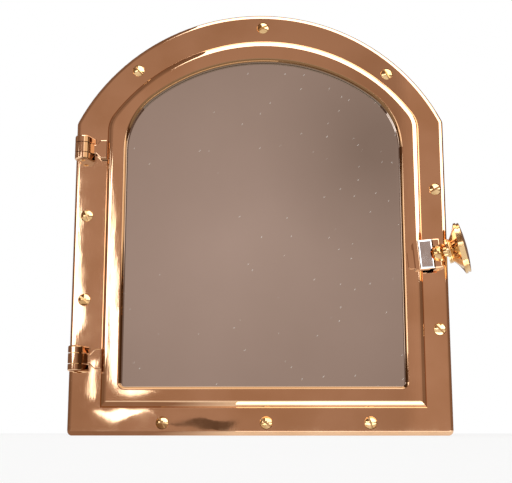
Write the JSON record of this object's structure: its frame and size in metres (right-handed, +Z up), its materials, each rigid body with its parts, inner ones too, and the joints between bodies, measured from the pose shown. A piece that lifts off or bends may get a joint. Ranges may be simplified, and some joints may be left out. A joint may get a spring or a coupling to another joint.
{
  "type": "porthole mirror",
  "caption": "Arched porthole-style wall mirror: a hinged ring door holds the glass and closes on a screwed flange with a swing-bolt latch and thumb nut.",
  "frame": {"origin": "middle of the frame's height and width, on the wall plane at the back of the frame", "axes": "+X right and +Z up seen from the front, +Y into the wall, the mirror faces -Y"},
  "size_m": [0.328, 0.0637, 0.3578],
  "materials": {
    "cast_brass": "polished cast rose brass",
    "turned_brass": "polished turned yellow brass",
    "retainer_brass": "rolled sheet, satin",
    "keeper_nickel": "bright nickel plate",
    "mirror": "silvered float glass",
    "rubber": "matt",
    "board": "hardboard",
    "small_screws": "zinc plated"
  },
  "bodies": {
    "frame": {"outer_frame": "cast_brass", "frame_skirt_wall": "cast_brass", "frame_collar_wall": "cast_brass", "frame_bosses": "cast_brass", "frame_screws": "turned_brass", "door_seal": "rubber", "upper_hinge_lug": "cast_brass", "lower_hinge_lug": "cast_brass", "upper_hinge_pin": "turned_brass", "lower_hinge_pin": "turned_brass", "hinge_lug_screws": "small_screws", "pivot_lug": "cast_brass", "pivot_pin": "turned_brass", "pivot_lug_screws": "small_screws"},
    "door": {"door_ring": "cast_brass", "mirror_glass": "mirror", "glass_gasket": "rubber", "backing_board": "board", "retaining_ring": "retainer_brass", "retaining_screws": "small_screws", "upper_hinge_arm": "cast_brass", "lower_hinge_arm": "cast_brass", "hinge_arm_screws": "small_screws", "door_lug": "cast_brass", "door_lug_screws": "small_screws", "keeper_plate": "keeper_nickel", "keeper_rivets": "keeper_nickel"},
    "dog": {"swing_eye": "turned_brass", "swing_stud": "turned_brass"},
    "washer": {"nut_washer": "turned_brass"},
    "nut": {"thumb_nut": "turned_brass"}
  },
  "joints": [
    {"name": "door_swing", "type": "hinge", "parent": "frame", "child": "door", "pos_m": [-0.14765, -0.021, 0], "axis": [0, 0, -1], "range_deg": [0, 150]},
    {"name": "dog_swing", "type": "hinge", "parent": "frame", "child": "dog", "pos_m": [0.14535, -0.0207, -0.0336], "axis": [0.225, 0, -0.9744], "range_deg": [0, 77]},
    {"name": "nut_slide", "type": "slide", "parent": "dog", "child": "washer", "axis": [0.9494, -0.225, 0.2192], "range_m": [0, 0.00501]},
    {"name": "nut_spin", "type": "hinge", "parent": "washer", "child": "nut", "pos_m": [0.14535, -0.0207, -0.0336], "axis": [0.9494, -0.225, 0.2192], "range_deg": [0, 1440]}
  ],
  "couplings": [
    {"joint": "nut_slide", "follows": "nut_spin", "m_per_rad": 0.00019894}
  ]
}
